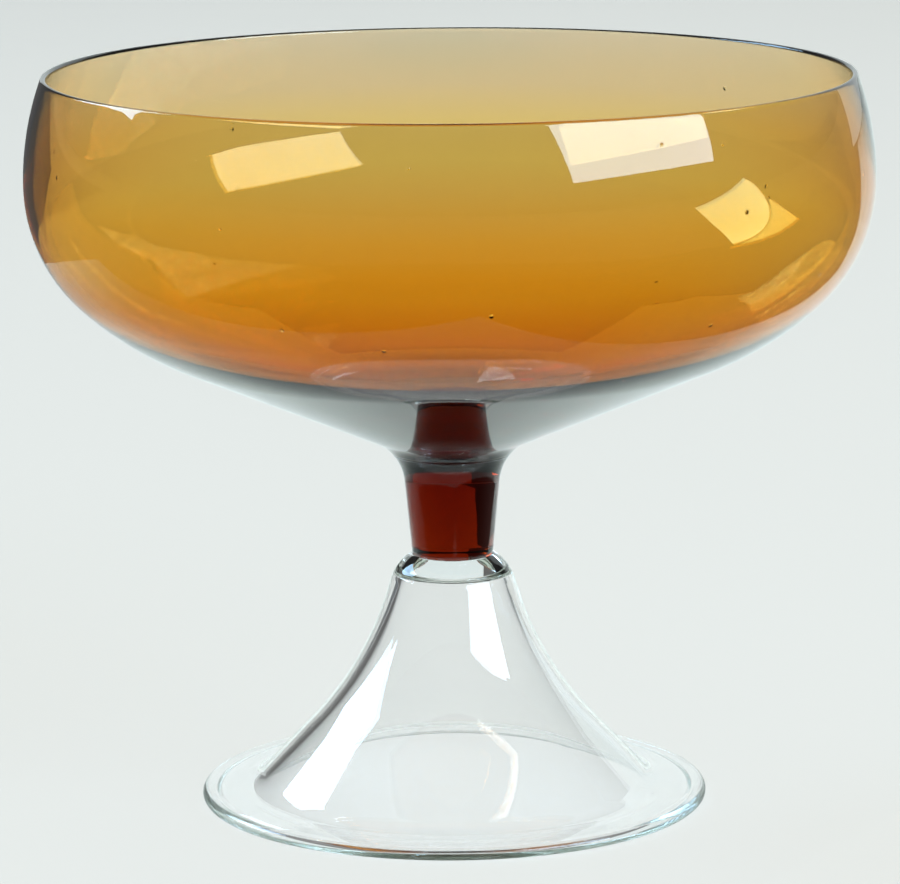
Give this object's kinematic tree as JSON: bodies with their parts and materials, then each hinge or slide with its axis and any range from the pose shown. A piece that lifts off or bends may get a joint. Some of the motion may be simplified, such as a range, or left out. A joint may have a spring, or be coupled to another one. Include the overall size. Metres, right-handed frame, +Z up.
{
  "type": "sherbet glass",
  "caption": "Footed sherbet glass: a wide amber blown bowl on a short solid amber stem, joined by a clear button to a clear hollow trumpet foot.",
  "frame": {"origin": "centre of the ring on which the foot rests, in the plane of the table", "axes": "+Z up along the axis of the stem; the glass is round, so X and Y are free, and the picture looks along +Y"},
  "size_m": [0.11, 0.11, 0.096],
  "materials": {
    "amber_glass": "fire-polished amber soda-lime glass",
    "clear_glass": "fire-polished clear soda-lime glass"
  },
  "bodies": {
    "root": {"bowl": "amber_glass", "stem": "amber_glass", "merese": "clear_glass", "foot": "clear_glass"}
  },
  "joints": []
}
